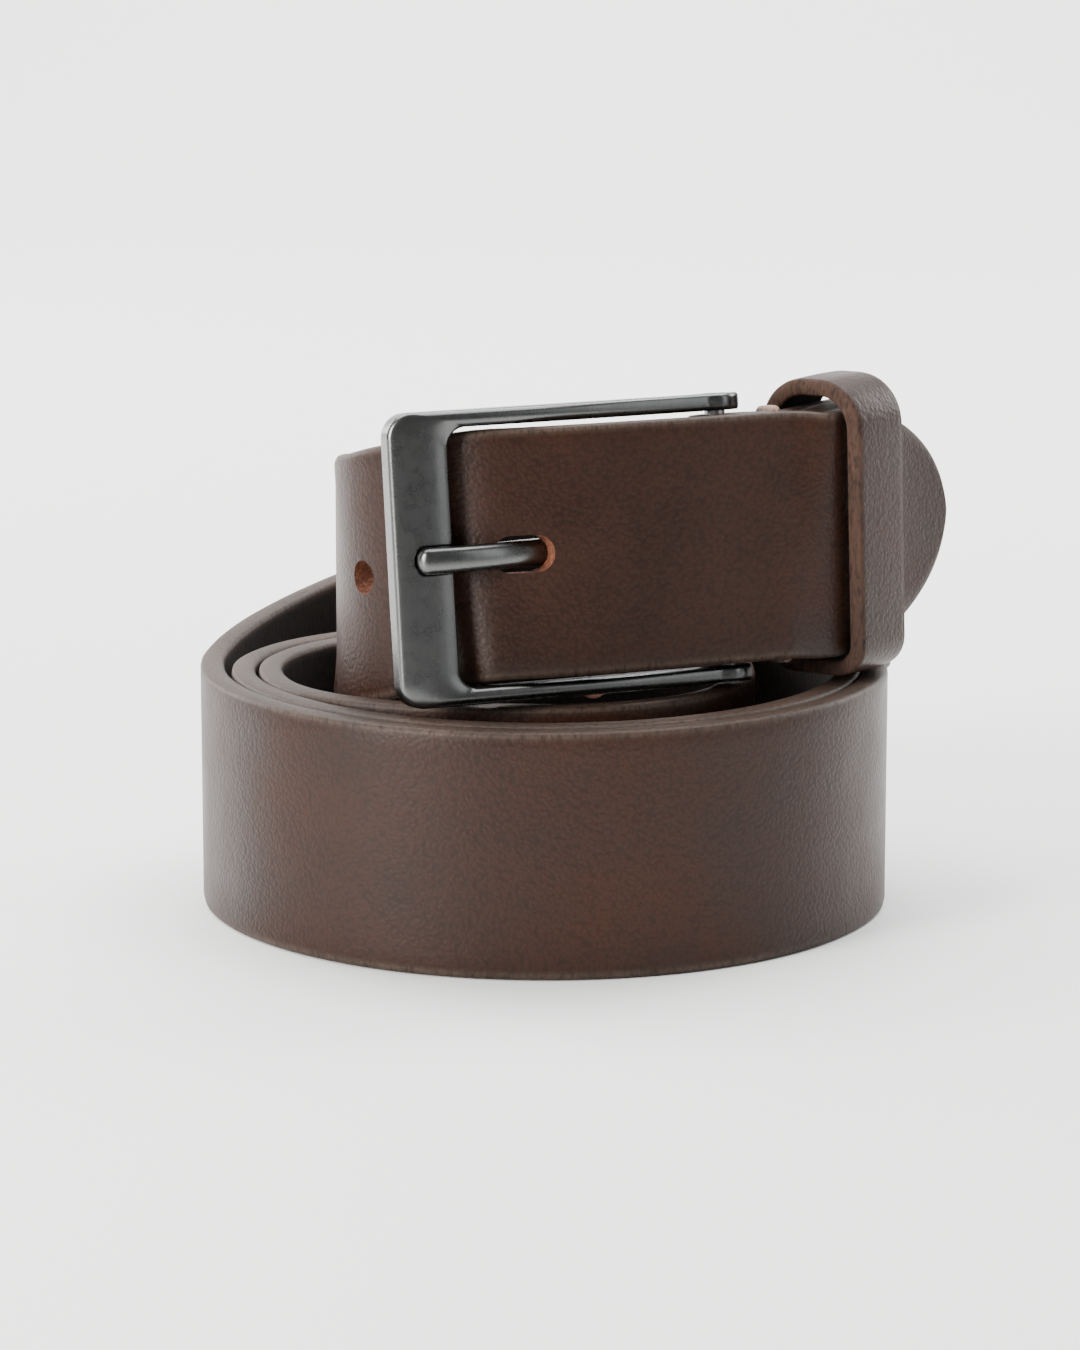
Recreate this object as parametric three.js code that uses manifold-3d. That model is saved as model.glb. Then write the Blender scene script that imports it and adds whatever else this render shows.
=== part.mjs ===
// A leather dress belt, wound up on its edge and buckled round its own coil.
// Millimetres, +Z up. The belt stands centred on its footprint, on z = 0.
import * as THREE from 'three';
import { mergeVertices } from 'three/addons/utils/BufferGeometryUtils.js';
import Module from 'manifold-3d';

const wasm = await Module();
wasm.setup();

// Strap
const strapWidth = 38;
const strapThickness = 3.8;
const strapEdge = 0.9; // bevel of the strap's edges
const skivedThickness = 2.4; // where the strap is pared down to fold round the heel bar
const tipLength = 28; // the rounded point
const tipRun = 23; // keeper to the end of the point
const holeRadius = 2.6;
const holeSpacing = 25;
const holeCount = 5;

// Coil
const coilRadius = 54.5; // outside of the lower coil
const turnGap = 0.5; // between turns that lie together
const rearHollow = 23; // how far the second and third turns stay off the first one at the rear
const innerDraw = 9; // how far the last turn draws in at the front
const restGap = 0.35; // between pieces that touch

// Buckle
const frameLength = 58;
const frameLug = 3.2; // heel bar to the end of the rails
const frontBar = 9.3; // width of the bar that the prong rests on
const railHeight = 2.5;
const frameThickness = 3.6;
const frameCorner = 3.8;
const windowCorner = 3;
const strapClearance = 0.7; // each side of the strap in the frame
const heelBarRadius = 1.6;
const pinClearance = 0.3;
const prongWidth = 4.1;
const prongThickness = 3.4;
const prongOverhang = 3; // from the prong's tip out to the front bar's outer edge
const prongClearance = 0.9; // round the prong in the strap's hole
const prongHoleX = -36; // heel bar to the hole that the prong stands in
const prongEye = 3.7; // outside of the prong's eye round the heel bar
const notchDepth = 1.2;
const seatTurn = 22; // the buckle's turn from facing straight to the front, degrees
const seatLean = 8; // how far it leans back, degrees

// Keeper
const keeperWidth = 12;
const keeperThickness = 2.5;
const keeperCorner = 5.2; // outside, under the strap
const keeperCrown = 7.6; // outside, over the strap
const keeperSeam = 0.5; // between the loop's two ends
const stapleWire = 0.9;
const stapleCrown = 8;
const keeperHeadroom = 2.2; // over the strap's upper edge
const keeperFootroom = 0.8; // under its lower edge
const keeperSlack = 1.3; // before and behind the layers it holds
const keeperTurn = 52;
const keeperLean = 2;

// Thread
const threadThickness = 0.8;
const stitchPitch = 4;
const stitchInset = 3; // first stitch in from the strap's edge
const threadEase = 0.3; // round the thread in its holes
const rowNear = 8.5; // heel bar to the first row
const rowFar = 8.5; // middle of the keeper to the second row

const rad = THREE.MathUtils.degToRad;
const layer = strapThickness + turnGap;
const smooth = (from, to, x) => THREE.MathUtils.smoothstep(x, from, to);

// ---- solids ----

function solidOf(geometry) {
  const bare = new THREE.BufferGeometry();
  bare.setAttribute('position', geometry.getAttribute('position').clone());
  if (geometry.index) bare.setIndex(geometry.index);
  const merged = mergeVertices(bare, 1e-4);
  const corners = Array.from(merged.index.array);
  const triVerts = [];
  for (let i = 0; i < corners.length; i += 3) {
    const [a, b, c] = corners.slice(i, i + 3);
    if (a !== b && b !== c && c !== a) triVerts.push(a, b, c); // a triangle that merging shut is left out
  }
  return new wasm.Manifold(
    new wasm.Mesh({
      numProp: 3,
      vertProperties: merged.getAttribute('position').array,
      triVerts: new Uint32Array(triVerts),
    }),
  );
}

// Edges shorter than a hundredth of a millimetre, left where solids were joined, go.
function geometryOf(solid) {
  const mesh = solid.asOriginal().simplify(0.01).getMesh();
  const geometry = new THREE.BufferGeometry();
  geometry.setAttribute('position', new THREE.BufferAttribute(mesh.vertProperties, 3));
  geometry.setIndex(new THREE.BufferAttribute(mesh.triVerts, 1));
  return geometry;
}

// A flat outline in x and y, extruded along z and centred on it.
function slab(shape, height) {
  const geometry = new THREE.ExtrudeGeometry(shape, {
    depth: height,
    bevelEnabled: false,
    curveSegments: 6,
  });
  return geometry.translate(0, 0, -height / 2);
}

// A flat outline in x and z, extruded along y and centred on it.
function plate(shape, depth) {
  return slab(shape, depth).rotateX(Math.PI / 2);
}

function rod(radius, length, sides) {
  return new THREE.CylinderGeometry(radius, radius, length, sides).rotateX(Math.PI / 2);
}

function roundedRectangle(x0, x1, y0, y1, corner) {
  const shape = new THREE.Shape();
  shape.moveTo(x0 + corner, y0);
  shape.lineTo(x1 - corner, y0);
  shape.absarc(x1 - corner, y0 + corner, corner, -Math.PI / 2, 0);
  shape.lineTo(x1, y1 - corner);
  shape.absarc(x1 - corner, y1 - corner, corner, 0, Math.PI / 2);
  shape.lineTo(x0 + corner, y1);
  shape.absarc(x0 + corner, y1 - corner, corner, Math.PI / 2, Math.PI);
  shape.lineTo(x0, y0 + corner);
  shape.absarc(x0 + corner, y0 + corner, corner, Math.PI, 1.5 * Math.PI);
  return shape;
}

// ---- seats: where the buckle and the keeper stand on the coil ----

// A seat's own x runs along the strap towards its tip, y runs back and z runs up its width.
function seat(x, y, z, turn, lean) {
  const spot = new THREE.Group();
  spot.position.set(x, y, z);
  spot.rotation.set(rad(-lean), 0, rad(turn), 'ZYX');
  spot.updateMatrixWorld(true);
  return spot;
}

const frameHalf = strapWidth / 2 + strapClearance + railHeight;
const buckleHeight = strapWidth + 2 * restGap + frameHalf * Math.cos(rad(seatLean));
const buckleSeat = seat(27, -18, buckleHeight, seatTurn, seatLean);

const layersFront = 1.5 * strapThickness + restGap; // strap's middle to the billet's face
const layersBack = strapThickness / 2 + restGap + skivedThickness;
const keeperBelow = strapWidth / 2 + keeperFootroom + keeperThickness;
const keeperBehind = layersBack + keeperSlack + keeperThickness;
const keeperHeight =
  strapWidth +
  restGap +
  keeperBelow * Math.cos(rad(keeperLean)) +
  keeperBehind * Math.sin(rad(keeperLean));
const keeperSeat = seat(44.3, -9.9, keeperHeight, keeperTurn, keeperLean);

// ---- the strap's lie ----

// A station is a point of the strap's middle line and the way that its width points.
function seated(spot, x, y) {
  return {
    at: new THREE.Vector3(x, y, 0).applyMatrix4(spot.matrixWorld),
    up: new THREE.Vector3(0, 0, 1).transformDirection(spot.matrixWorld),
  };
}

// A point in plan, and the height of the strap's lower edge there.
function standing(x, y, foot) {
  return { at: new THREE.Vector3(x, y, foot + strapWidth / 2), up: new THREE.Vector3(0, 0, 1) };
}

function polar(degrees, radius, foot) {
  return standing(radius * Math.cos(rad(degrees)), radius * Math.sin(rad(degrees)), foot);
}

class Lie extends THREE.Curve {
  constructor(stations) {
    super();
    this.arcLengthDivisions = 1500;
    this.spine = new THREE.CatmullRomCurve3(stations.map((s) => s.at));
    this.uprights = new THREE.CatmullRomCurve3(stations.map((s) => s.up));
  }

  getPoint(t, target = new THREE.Vector3()) {
    return this.spine.getPoint(t, target);
  }

  // The flesh side, the width and the way on, a share u along the strap.
  frameAt(u) {
    const t = this.getUtoTmapping(u);
    const along = this.spine.getTangent(t);
    const inward = this.uprights.getPoint(t).cross(along).normalize();
    return { along, inward, up: along.clone().cross(inward) };
  }

  computeFrenetFrames(steps) {
    const frames = Array.from({ length: steps + 1 }, (_, i) => this.frameAt(i / steps));
    return {
      tangents: frames.map((f) => f.along),
      normals: frames.map((f) => f.inward),
      binormals: frames.map((f) => f.up),
    };
  }
}

// The bevelled section, with the flesh side towards +x.
function strapSection(fleshSide, grainSide) {
  const half = strapWidth / 2;
  const bevel = Math.min(strapEdge, (fleshSide - grainSide) / 3);
  const shape = new THREE.Shape();
  shape.moveTo(grainSide, -half + bevel);
  shape.lineTo(grainSide + bevel, -half);
  shape.lineTo(fleshSide - bevel, -half);
  shape.lineTo(fleshSide, -half + bevel);
  shape.lineTo(fleshSide, half - bevel);
  shape.lineTo(fleshSide - bevel, half);
  shape.lineTo(grainSide + bevel, half);
  shape.lineTo(grainSide, half - bevel);
  shape.closePath();
  return shape;
}

function sweep(section, lie, step) {
  const steps = Math.ceil(lie.getLength() / step);
  return solidOf(new THREE.ExtrudeGeometry(section, { steps, extrudePath: lie }));
}

// Middle line of the full strap beside the heel bar, with its grain side flush with the fold's.
const foldRadius = heelBarRadius + restGap + skivedThickness / 2;
const foldFace = heelBarRadius + restGap + skivedThickness;
const mainY = -(foldFace - strapThickness / 2);
const billetY = -(foldFace + restGap + strapThickness / 2);

// The front face of the frame: a shallow bow from the heel bar to the front bar.
function frameFace(x) {
  const share = -x / frameLength;
  return -(heelBarRadius + 0.8) - 9.5 * share + 8.2 * share * share;
}

const middleRadius = coilRadius - strapThickness / 2;

// The lower turns, by the whole angle turned since the strap's start; 180 is the left side.
function lowerRadius(degrees) {
  const turns = (degrees - 180) / 360;
  const whole = Math.floor(turns);
  const deep = whole + smooth(0.5, 1, turns - whole);
  const round = ((degrees % 360) + 450) % 360; // 0 at the front, 180 at the rear
  const off = Math.abs(round - 182);
  const hollow = degrees > 330 ? (rearHollow * (1 + Math.cos(Math.PI * Math.min(1, off / 105)))) / 2 : 0;
  const drawn = innerDraw * smooth(925, 985, degrees);
  return middleRadius - layer * deep - hollow - drawn;
}

const lowerTurns = [];
for (let degrees = 180; degrees <= 1035; degrees += 15) {
  lowerTurns.push(polar(degrees, lowerRadius(degrees), 0));
}

// From the keeper the strap runs down round the rear to the floor at the left: angle, how
// far its middle line bulges past the lower coil's, and its height as a share of its width.
const runDown = [
  [12, 1.2, 0.932],
  [24, 2.4, 0.803],
  [40, 3.4, 0.653],
  [60, 3.6, 0.5],
  [80, 3.4, 0.368],
  [100, 2.6, 0.263],
  [120, 1.6, 0.174],
  [135, 0.8, 0.108],
  [150, 0.3, 0.053],
  [162, 0.1, 0.02],
  [173, 0, 0.003],
].map(([degrees, bulge, share]) => polar(degrees, middleRadius + bulge, share * strapWidth));

// Inside the coil it climbs again to the buckle's level, right side to left side.
const climbWide = 31;
const climbDeep = 25;
const climb = [];
for (let degrees = -10; degrees <= 170; degrees += 15) {
  const x = climbWide * Math.cos(rad(degrees));
  const y = climbDeep * Math.sin(rad(degrees)) - 8;
  climb.push(standing(x, y, (strapWidth - 4) * smooth(0, 188, degrees)));
}

// The bend at the left: angle, and the strap's height over the lower coil's top.
const bendRadius = 20.8;
const bend = [
  [183, -4.2],
  [199, -2.9],
  [215, -1.2],
  [232, 0.7],
  [249, 2.2],
].map(([degrees, over]) => {
  const x = bendRadius * Math.cos(rad(degrees)) - 9.5;
  const y = bendRadius * Math.sin(rad(degrees)) - 12.5;
  return standing(x, y, strapWidth + over);
});

// Points of a layer between the heel bar and the keeper, its middle off the main strap's.
function besideKeeper(offset) {
  return [
    seated(keeperSeat, -7.5, offset),
    seated(keeperSeat, 0, offset),
    seated(keeperSeat, rowFar, offset),
  ];
}

const mainLie = new Lie([
  seated(buckleSeat, 4, mainY),
  seated(buckleSeat, rowNear, mainY),
  ...besideKeeper(0),
  ...runDown,
  ...lowerTurns,
  ...climb,
  ...bend,
  seated(buckleSeat, -40, billetY + 4.4),
  seated(buckleSeat, -34, billetY + 2.7),
  seated(buckleSeat, -27, billetY + 1.2),
  seated(buckleSeat, -18, billetY + 0.4),
  seated(buckleSeat, -9, billetY),
  seated(buckleSeat, 0, billetY),
  seated(buckleSeat, rowNear, billetY),
  ...besideKeeper(billetY - mainY),
  seated(keeperSeat, 14, billetY - mainY),
  seated(keeperSeat, tipRun, billetY - mainY - 0.4),
]);

// The skived end lies behind the main strap and comes round the heel bar to its front.
const foldOffset = layersBack - skivedThickness / 2;
const foldStations = [
  seated(keeperSeat, rowFar + 3, foldOffset),
  ...besideKeeper(foldOffset).reverse(),
  seated(buckleSeat, rowNear, mainY + foldOffset),
  seated(buckleSeat, 3.6, foldRadius - 0.4),
];
for (let degrees = 75; degrees <= 270; degrees += 32.5) {
  const x = foldRadius * Math.cos(rad(degrees));
  const y = foldRadius * Math.sin(rad(degrees));
  foldStations.push(seated(buckleSeat, x, y));
}
foldStations.push(seated(buckleSeat, 3, 0.05 - foldRadius), seated(buckleSeat, 6, 0.3 - foldRadius));
const foldLie = new Lie(foldStations);

// ---- cutters, and what passes through the strap ----

const placed = (geometry, spot) => solidOf(geometry.applyMatrix4(spot.matrixWorld));

// The outline of a wire or thread of a given half thickness along a route in y and z.
function wireOutline(route, half) {
  const left = [];
  const right = [];
  route.forEach((point, i) => {
    const before = i > 0 ? point.clone().sub(route[i - 1]).normalize() : null;
    const after = i < route.length - 1 ? route[i + 1].clone().sub(point).normalize() : null;
    const one = before || after;
    const two = after || before;
    const reach = half / (1 + one.dot(two));
    const mitre = new THREE.Vector2(-one.y - two.y, one.x + two.x).multiplyScalar(reach);
    const end = new THREE.Vector2();
    if (!before) end.copy(after).multiplyScalar(-half);
    if (!after) end.copy(before).multiplyScalar(half);
    left.push(point.clone().add(mitre).add(end));
    right.push(point.clone().sub(mitre).add(end));
  });
  return new THREE.Shape([...left, ...right.reverse()]);
}

// Turns an outline in x and y, extruded along z, to one in y and z, extruded along x.
const acrossSeat = new THREE.Matrix4().makeBasis(
  new THREE.Vector3(0, 1, 0),
  new THREE.Vector3(0, 0, 1),
  new THREE.Vector3(1, 0, 0),
);

function wireSolid(x, route, half) {
  return solidOf(slab(wireOutline(route, half), 2 * half).applyMatrix4(acrossSeat).translate(x, 0, 0));
}

// A thread sewn up through two layers, one stitch in front and the next behind, and
// drawn over both edges at its ends. It lies sunk in the leather, flush with its faces.
function threadRow(x, offset, extra) {
  const front = offset - strapThickness / 2 + threadThickness / 2 - 0.05;
  const back = offset + layersBack - threadThickness / 2 + 0.05;
  const over = strapWidth / 2 + threadThickness;
  const stitches = 2 * Math.floor((strapWidth / 2 - stitchInset) / stitchPitch);
  const first = (-stitches * stitchPitch) / 2;
  const tail = 2.2 * threadThickness; // what the end holds beyond the outermost stitch
  const route = [
    [back, first - tail],
    [back, -over],
    [front, -over],
  ];
  for (let i = 0; i <= stitches; i += 1) {
    const z = first + i * stitchPitch;
    const sides = i % 2 === 0 ? [front, back] : [back, front];
    route.push([sides[0], z], [sides[1], z]);
  }
  route.push([back, over], [front, over], [front, tail - first]);
  return wireSolid(x, route.map(([y, z]) => new THREE.Vector2(y, z)), threadThickness / 2 + extra);
}

// The prong's side view: a bar along a bent middle line, with a round tip.
const frameEnd = frameLug - frameLength;
const prongTip = frameEnd + prongOverhang;
const prongRest = frameFace(frameEnd + frontBar / 2) + notchDepth - restGap - prongThickness / 2;
const prongLine = new THREE.CatmullRomCurve3(
  [
    [0, 0],
    [-10, 0],
    [-20, -0.2],
    [-27, -1.1],
    [-33, -2.8],
    [-39, prongRest + 0.5],
    [-45, prongRest - 0.25],
    [prongTip + prongThickness / 2, prongRest],
  ].map(([x, y]) => new THREE.Vector3(x, y, 0)),
);

function prongOutline(extra) {
  const half = prongThickness / 2 + extra;
  const steps = 22;
  const points = prongLine.getSpacedPoints(steps);
  const front = points.map((p, i) => {
    const t = prongLine.getTangentAt(i / steps);
    return new THREE.Vector2(p.x - t.y * half, p.y + t.x * half);
  });
  const back = points.map((p, i) => {
    const t = prongLine.getTangentAt(i / steps);
    return new THREE.Vector2(p.x + t.y * half, p.y - t.x * half);
  });
  const end = points[steps];
  const round = [];
  for (let degrees = 120; degrees <= 240; degrees += 30) {
    round.push(
      new THREE.Vector2(end.x + half * Math.cos(rad(degrees)), end.y - half * Math.sin(rad(degrees))),
    );
  }
  return new THREE.Shape([...front, ...round, ...back.reverse()]);
}

function prongBar(extra, width) {
  const edge = 0.9;
  const geometry = new THREE.ExtrudeGeometry(prongOutline(extra - edge), {
    depth: width - 2 * edge,
    bevelThickness: edge,
    bevelSize: edge,
    bevelSegments: 1,
  });
  return geometry.translate(0, 0, edge - width / 2);
}

// ---- strap ----

function strapSolid() {
  const full = strapSection(strapThickness / 2, -strapThickness / 2);
  const pared = strapSection(skivedThickness / 2, -skivedThickness / 2);
  let strap = sweep(full, mainLie, 5).add(sweep(pared, foldLie, 1.4));

  // The point.
  const outline = new THREE.Shape();
  const half = strapWidth / 2;
  outline.moveTo(tipRun - tipLength, -half - 1);
  outline.lineTo(tipRun - tipLength, -half);
  outline.absellipse(tipRun - tipLength, 0, tipLength, half, -Math.PI / 2, Math.PI / 2);
  outline.lineTo(tipRun - tipLength, half + 1);
  outline.lineTo(tipRun + 5, half + 1);
  outline.lineTo(tipRun + 5, -half - 1);
  const clear = strapThickness / 2 + restGap / 2;
  strap = strap.subtract(placed(plate(outline, 12).translate(0, -6 - clear, 0), keeperSeat));

  // The slot in the fold for the prong, and the worn hole that the prong stands in.
  const slotHalf = prongWidth / 2 + strapClearance;
  const slot = roundedRectangle(-9, prongEye + 1.1, -slotHalf, slotHalf, 2);
  strap = strap.subtract(placed(plate(slot, 2 * foldFace + 0.4), buckleSeat));
  const worn = prongBar(prongClearance, prongWidth + 2 * strapClearance);
  const behind = slab(new THREE.Shape([
    new THREE.Vector2(-25, -20),
    new THREE.Vector2(10, -20),
    new THREE.Vector2(10, 20),
    new THREE.Vector2(-25, 20),
  ]), 20);
  const wornHole = placed(worn, buckleSeat).subtract(placed(behind, buckleSeat));
  strap = strap.subtract(wornHole);

  // The other holes, each a spacing further from the point.
  const length = mainLie.getLength();
  const toBuckle = buckleSeat.matrixWorld.clone().invert();
  let share = 1;
  while (mainLie.getPointAt(share).applyMatrix4(toBuckle).x > prongHoleX) share -= 0.5 / length;
  for (let i = 1; i < holeCount; i += 1) {
    const u = share - (i * holeSpacing) / length;
    const at = mainLie.getPointAt(u);
    const turn = new THREE.Quaternion().setFromUnitVectors(
      new THREE.Vector3(0, 1, 0),
      mainLie.frameAt(u).inward,
    );
    const hole = new THREE.CylinderGeometry(holeRadius, holeRadius, 3 * strapThickness, 16);
    strap = strap.subtract(solidOf(hole.applyQuaternion(turn).translate(at.x, at.y, at.z)));
  }

  // Stitch holes.
  const near = geometryOf(threadRow(rowNear, mainY, threadEase));
  const far = geometryOf(threadRow(rowFar, 0, threadEase));
  return strap.subtract(placed(near, buckleSeat)).subtract(placed(far, keeperSeat));
}

// ---- buckle ----

function frameSolid() {
  const front = [];
  const back = [];
  for (let i = 0; i <= 16; i += 1) {
    const x = frameEnd + (i / 16) * (frameLength - frameLug);
    front.push(new THREE.Vector2(x, frameFace(x)));
    back.unshift(new THREE.Vector2(x, frameFace(x) + frameThickness));
  }
  const bar = solidOf(slab(new THREE.Shape([...front, ...back]), 2 * frameHalf));
  const lugs = solidOf(rod(frameLug, 2 * frameHalf, 20));
  const opening = strapWidth / 2 + strapClearance;
  const outer = roundedRectangle(frameEnd, frameLug, -frameHalf, frameHalf, frameCorner);
  const inner = roundedRectangle(frameEnd + frontBar, 20, -opening, opening, windowCorner);
  const through = solidOf(rod(heelBarRadius + pinClearance, 2 * frameHalf + 1, 16));
  const notch = prongBar(restGap, prongWidth + 2 * restGap);
  return bar
    .add(lugs)
    .intersect(solidOf(plate(outer, 40)))
    .subtract(solidOf(plate(inner, 40)))
    .subtract(through)
    .subtract(solidOf(notch));
}

function prongSolid() {
  const ring = rod(prongEye, prongWidth, 20);
  const eye = rod(heelBarRadius + pinClearance, prongWidth + 1, 16);
  return solidOf(prongBar(0, prongWidth)).add(solidOf(ring)).subtract(solidOf(eye));
}

// ---- keeper ----

// A loop's outline in the keeper's y and z, rounder over the strap than under it.
function loopOutline(extra) {
  const front = -layersFront - keeperSlack - extra;
  const back = layersBack + keeperSlack + extra;
  const foot = -strapWidth / 2 - keeperFootroom - extra;
  const head = strapWidth / 2 + keeperHeadroom + extra;
  const low = keeperCorner + extra - keeperThickness;
  const high = keeperCrown + extra - keeperThickness;
  const shape = new THREE.Shape();
  shape.moveTo(front + low, foot);
  shape.lineTo(back - low, foot);
  shape.absarc(back - low, foot + low, low, -Math.PI / 2, 0);
  shape.lineTo(back, head - high);
  shape.absarc(back - high, head - high, high, 0, Math.PI / 2);
  shape.lineTo(front + high, head);
  shape.absarc(front + high, head - high, high, Math.PI / 2, Math.PI);
  shape.lineTo(front, foot + low);
  shape.absarc(front + low, foot + low, low, Math.PI, 1.5 * Math.PI);
  return shape;
}

// A wire staple, its crown behind the keeper and its legs through the keeper's two ends.
function stapleSolid(extra) {
  const wall = layersBack + keeperSlack;
  const crown = wall + keeperThickness + restGap + stapleWire / 2;
  const half = stapleCrown / 2;
  const route = [
    [wall, -half],
    [crown, -half],
    [crown, half],
    [wall, half],
  ].map(([y, z]) => new THREE.Vector2(y, z));
  return wireSolid(0, route, stapleWire / 2 + extra);
}

function keeperSolid() {
  const outer = solidOf(slab(loopOutline(keeperThickness), keeperWidth).applyMatrix4(acrossSeat));
  const inner = solidOf(slab(loopOutline(0), keeperWidth + 1).applyMatrix4(acrossSeat));
  const seam = new THREE.BoxGeometry(keeperWidth + 1, 3 * keeperThickness, keeperSeam);
  const wall = layersBack + keeperSlack + keeperThickness / 2;
  return outer
    .subtract(inner)
    .subtract(solidOf(seam.translate(0, wall, 0)))
    .subtract(stapleSolid(pinClearance));
}

// ---- assembly ----

function piece(name, solid, colour, roughness, metalness = 0) {
  const material = new THREE.MeshStandardMaterial({ color: colour, roughness, metalness });
  const mesh = new THREE.Mesh(geometryOf(solid), material);
  mesh.name = name;
  return mesh;
}

const leather = 0x46291d;
const gunmetal = 0x5b5e5f;
const steel = 0x8d8f90;
const linen = 0x8a5a3a;

const heelBar = solidOf(rod(heelBarRadius, 2 * frameHalf - 0.4, 16));
buckleSeat.add(piece('buckle_frame', frameSolid(), gunmetal, 0.35, 1));
buckleSeat.add(piece('heel_bar', heelBar, steel, 0.4, 1));
buckleSeat.add(piece('prong', prongSolid(), gunmetal, 0.35, 1));
buckleSeat.add(piece('stitch_row_buckle', threadRow(rowNear, mainY, 0), linen, 0.8));
keeperSeat.add(piece('stitch_row_keeper', threadRow(rowFar, 0, 0), linen, 0.8));
keeperSeat.add(piece('keeper', keeperSolid(), leather, 0.55));
keeperSeat.add(piece('keeper_staple', stapleSolid(0), steel, 0.4, 1));

const belt = new THREE.Group();
belt.add(piece('strap', strapSolid(), leather, 0.55), buckleSeat, keeperSeat);
const box = new THREE.Box3().setFromObject(belt);
const middle = box.getCenter(new THREE.Vector3());
belt.position.set(-middle.x, -middle.y, -box.min.z);

export default belt;
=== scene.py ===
import math

import bpy
from mathutils import Matrix, Vector


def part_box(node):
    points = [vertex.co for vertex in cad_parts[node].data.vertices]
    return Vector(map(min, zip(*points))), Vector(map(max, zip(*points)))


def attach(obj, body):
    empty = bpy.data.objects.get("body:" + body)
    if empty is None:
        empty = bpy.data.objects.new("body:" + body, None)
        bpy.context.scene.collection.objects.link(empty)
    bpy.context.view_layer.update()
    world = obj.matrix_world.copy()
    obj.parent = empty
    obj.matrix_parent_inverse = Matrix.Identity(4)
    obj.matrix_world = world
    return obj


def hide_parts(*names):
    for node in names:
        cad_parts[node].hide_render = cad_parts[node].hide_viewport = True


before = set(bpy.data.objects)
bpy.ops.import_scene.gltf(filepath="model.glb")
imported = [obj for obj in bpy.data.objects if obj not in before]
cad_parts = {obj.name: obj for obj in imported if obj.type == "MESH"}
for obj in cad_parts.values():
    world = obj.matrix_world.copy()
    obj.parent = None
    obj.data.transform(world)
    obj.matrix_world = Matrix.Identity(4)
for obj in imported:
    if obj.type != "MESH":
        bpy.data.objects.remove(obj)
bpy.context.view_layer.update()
mm = 0.001

# Millimetre values that the strap, the buckle and the keeper share.
belt = {
    "width": 38.0,
    "thickness": 3.8,
    "skived": 2.4,  # the part that folds round the heel bar
    "restGap": 0.35,
    "heelBarRadius": 1.6,
    "rail": 2.5,
    "railGap": 0.7,  # the strap's edge to the CAD frame's rail
    "keeperThickness": 2.5,
    "keeperFootroom": 0.8,
    "keeperSlack": 1.3,  # before and behind the layers it holds
    "buckleSeat": {"x": 27, "y": -18, "turn": 22, "lean": 8},
    "keeperSeat": {"x": 44.3, "y": -9.9, "turn": 52, "lean": 2},
}


def sine(degrees):
    return math.sin(math.radians(degrees))


def cosine(degrees):
    return math.cos(math.radians(degrees))


def smoothStep(low, high, x):
    share = min(1.0, max(0.0, (x - low) / (high - low)))
    return share * share * (3 - 2 * share)


# A seat's own x runs along the strap towards its tip, y runs back and z up its width.
def seatAt(place, height):
    turned = Matrix.Rotation(math.radians(place["turn"]), 4, "Z")
    leant = Matrix.Rotation(math.radians(-place["lean"]), 4, "X")
    return Matrix.Translation((place["x"], place["y"], height)) @ (turned @ leant)


frameHalf = belt["width"] / 2 + belt["railGap"] + belt["rail"]
buckleHeight = belt["width"] + 2 * belt["restGap"] + frameHalf * cosine(belt["buckleSeat"]["lean"])
foldFace = belt["heelBarRadius"] + belt["restGap"] + belt["skived"]
mainY = belt["thickness"] / 2 - foldFace
billetY = -(foldFace + belt["restGap"] + belt["thickness"] / 2)
layersFront = 1.5 * belt["thickness"] + belt["restGap"]
layersBack = belt["thickness"] / 2 + belt["restGap"] + belt["skived"]
keeperLean = belt["keeperSeat"]["lean"]
keeperHeight = (
    belt["width"]
    + belt["restGap"]
    + (belt["width"] / 2 + belt["keeperFootroom"] + belt["keeperThickness"]) * cosine(keeperLean)
    + (layersBack + belt["keeperSlack"] + belt["keeperThickness"]) * sine(keeperLean)
)
buckleSeat = seatAt(belt["buckleSeat"], buckleHeight)
keeperSeat = seatAt(belt["keeperSeat"], keeperHeight)

# The heel bar's middle is the buckle seat's origin, which ties the coil to the frame.
barLow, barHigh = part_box("heel_bar")
barMiddle = (Vector(barLow) + Vector(barHigh)) / 2
coilCentre = barMiddle - buckleSeat.to_translation() * mm


def inRow(point):
    return coilCentre + Vector(point) * mm


# A station of the strap's lie is the middle of its section and its width direction.
def seated(seat, x, y):
    return (seat @ Vector((x, y, 0)), (seat.to_3x3() @ Vector((0, 0, 1))).normalized())


def standing(x, y, foot):
    return (Vector((x, y, foot + belt["width"] / 2)), Vector((0, 0, 1)))


def polar(degrees, radius, foot):
    return standing(radius * cosine(degrees), radius * sine(degrees), foot)


coil = {
    "radius": 54.5,  # outside of the lower coil
    "turnGap": 0.5,
    "rearHollow": 23,  # how far the inner turns stay off the first at the rear
    "hollowFrom": 330,  # an angle of the lower coil, as lowerRadius counts it
    "hollowMiddle": 182,  # counted from the front
    "hollowSpread": 105,
    "innerDraw": 9,
    "drawFrom": 925,
    "drawTo": 985,
    "climbWide": 31,
    "climbDeep": 25,
    "climbForward": 8,
    "climbShort": 4,  # the climb ends this far under the strap's width
    "climbTo": 188,
    "bendRadius": 20.8,
    "bendMiddle": (-9.5, -12.5),
    "keeperLead": 7.5,
    "tipLength": 28,
    "tipRun": 23,  # keeper to the end of the point
    "rowNear": 8.5,
    "rowFar": 8.5,
}


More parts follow.
